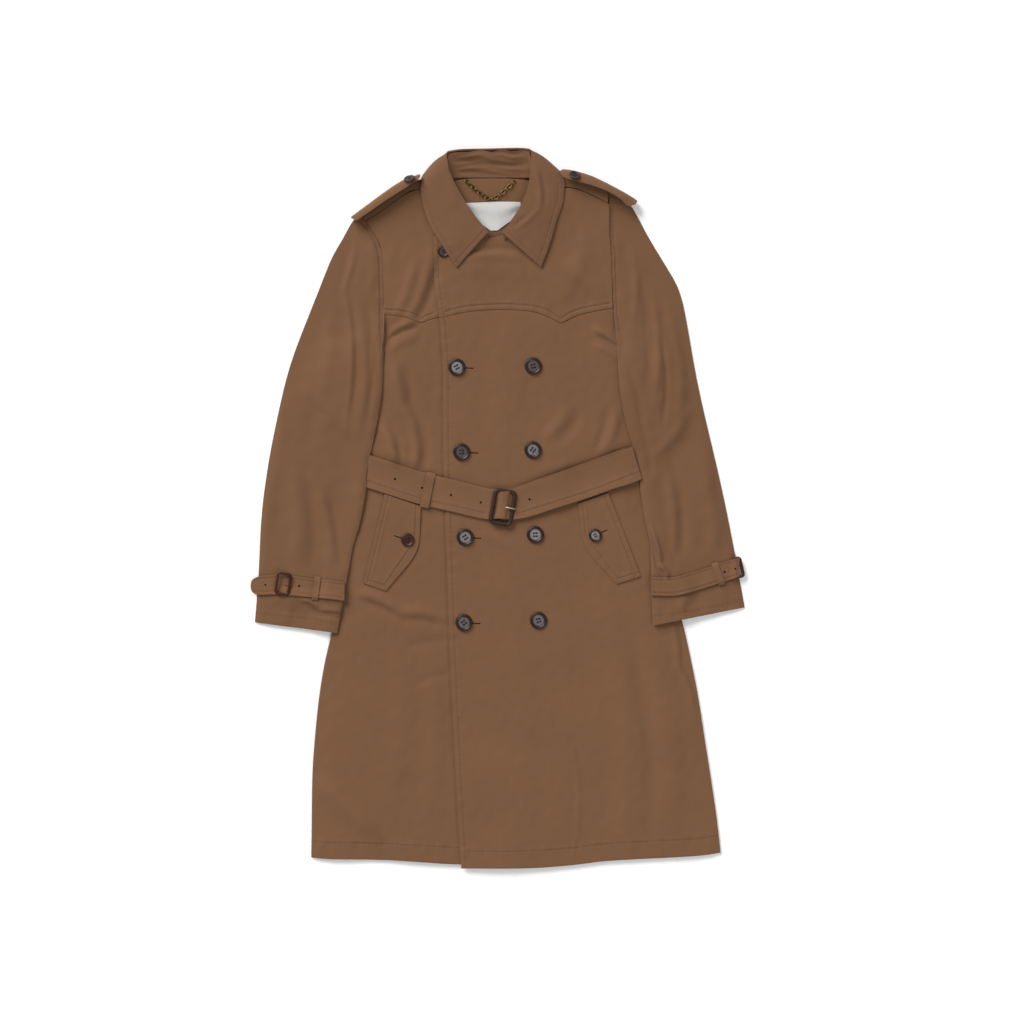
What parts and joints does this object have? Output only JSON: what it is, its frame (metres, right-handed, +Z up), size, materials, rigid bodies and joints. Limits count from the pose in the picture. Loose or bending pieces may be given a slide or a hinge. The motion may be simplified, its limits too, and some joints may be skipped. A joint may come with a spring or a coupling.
{
  "type": "trench coat",
  "caption": "Belted double-breasted trench coat, buttoned and laid flat on its back, sleeves along the sides, with shoulder straps, slanted pockets and strapped cuffs.",
  "frame": {"origin": "on the underside of the back panel, at the middle of the waist, where the coat rests on the surface", "axes": "+X to the coat's own left side, +Y from the hem to the collar, +Z up off the surface, out of the front"},
  "size_m": [0.7679, 1.1193, 0.0304],
  "materials": {
    "coat_cloth": "matt cotton twill",
    "collar_cloth": "matt cotton twill",
    "inner_cloth": "matt cotton twill",
    "belt_cloth": "matt cotton twill",
    "dark_button": "polished",
    "red_brown_button": "polished",
    "belt_frame": "satin",
    "cuff_frame": "satin",
    "prong_brass": "satin",
    "chain_brass": "dulled",
    "label_cloth": "smooth weave"
  },
  "bodies": {
    "root": {"back": "inner_cloth", "belt_buckle": "belt_frame", "belt_buckle_end": "belt_cloth", "belt_loop": "coat_cloth", "belt_prong": "prong_brass", "belt_tongue": "belt_cloth", "button_hip_left": "dark_button", "button_hip_right": "dark_button", "button_low_left": "dark_button", "button_low_right": "dark_button", "button_neck": "dark_button", "button_top_left": "dark_button", "button_top_right": "dark_button", "button_waist_left": "dark_button", "button_waist_right": "dark_button", "collar_leaf": "collar_cloth", "collar_stand": "inner_cloth", "cuff_buckle_left": "cuff_frame", "cuff_buckle_right": "cuff_frame", "cuff_loop_left": "coat_cloth", "cuff_loop_right": "coat_cloth", "cuff_prong_right": "prong_brass", "cuff_strap_left": "coat_cloth", "cuff_strap_right": "coat_cloth", "front_over": "coat_cloth", "front_under": "coat_cloth", "hanger_chain": "chain_brass", "neck_label": "label_cloth", "pocket_button_left": "dark_button", "pocket_button_right": "red_brown_button", "pocket_welt_left": "coat_cloth", "pocket_welt_right": "coat_cloth", "shoulder_button_left": "dark_button", "shoulder_button_right": "dark_button", "shoulder_left": "coat_cloth", "shoulder_right": "coat_cloth", "shoulder_strap_left": "coat_cloth", "shoulder_strap_right": "coat_cloth", "sleeve_left": "coat_cloth", "sleeve_right": "coat_cloth", "yoke_over": "coat_cloth", "yoke_under": "coat_cloth"}
  },
  "joints": []
}
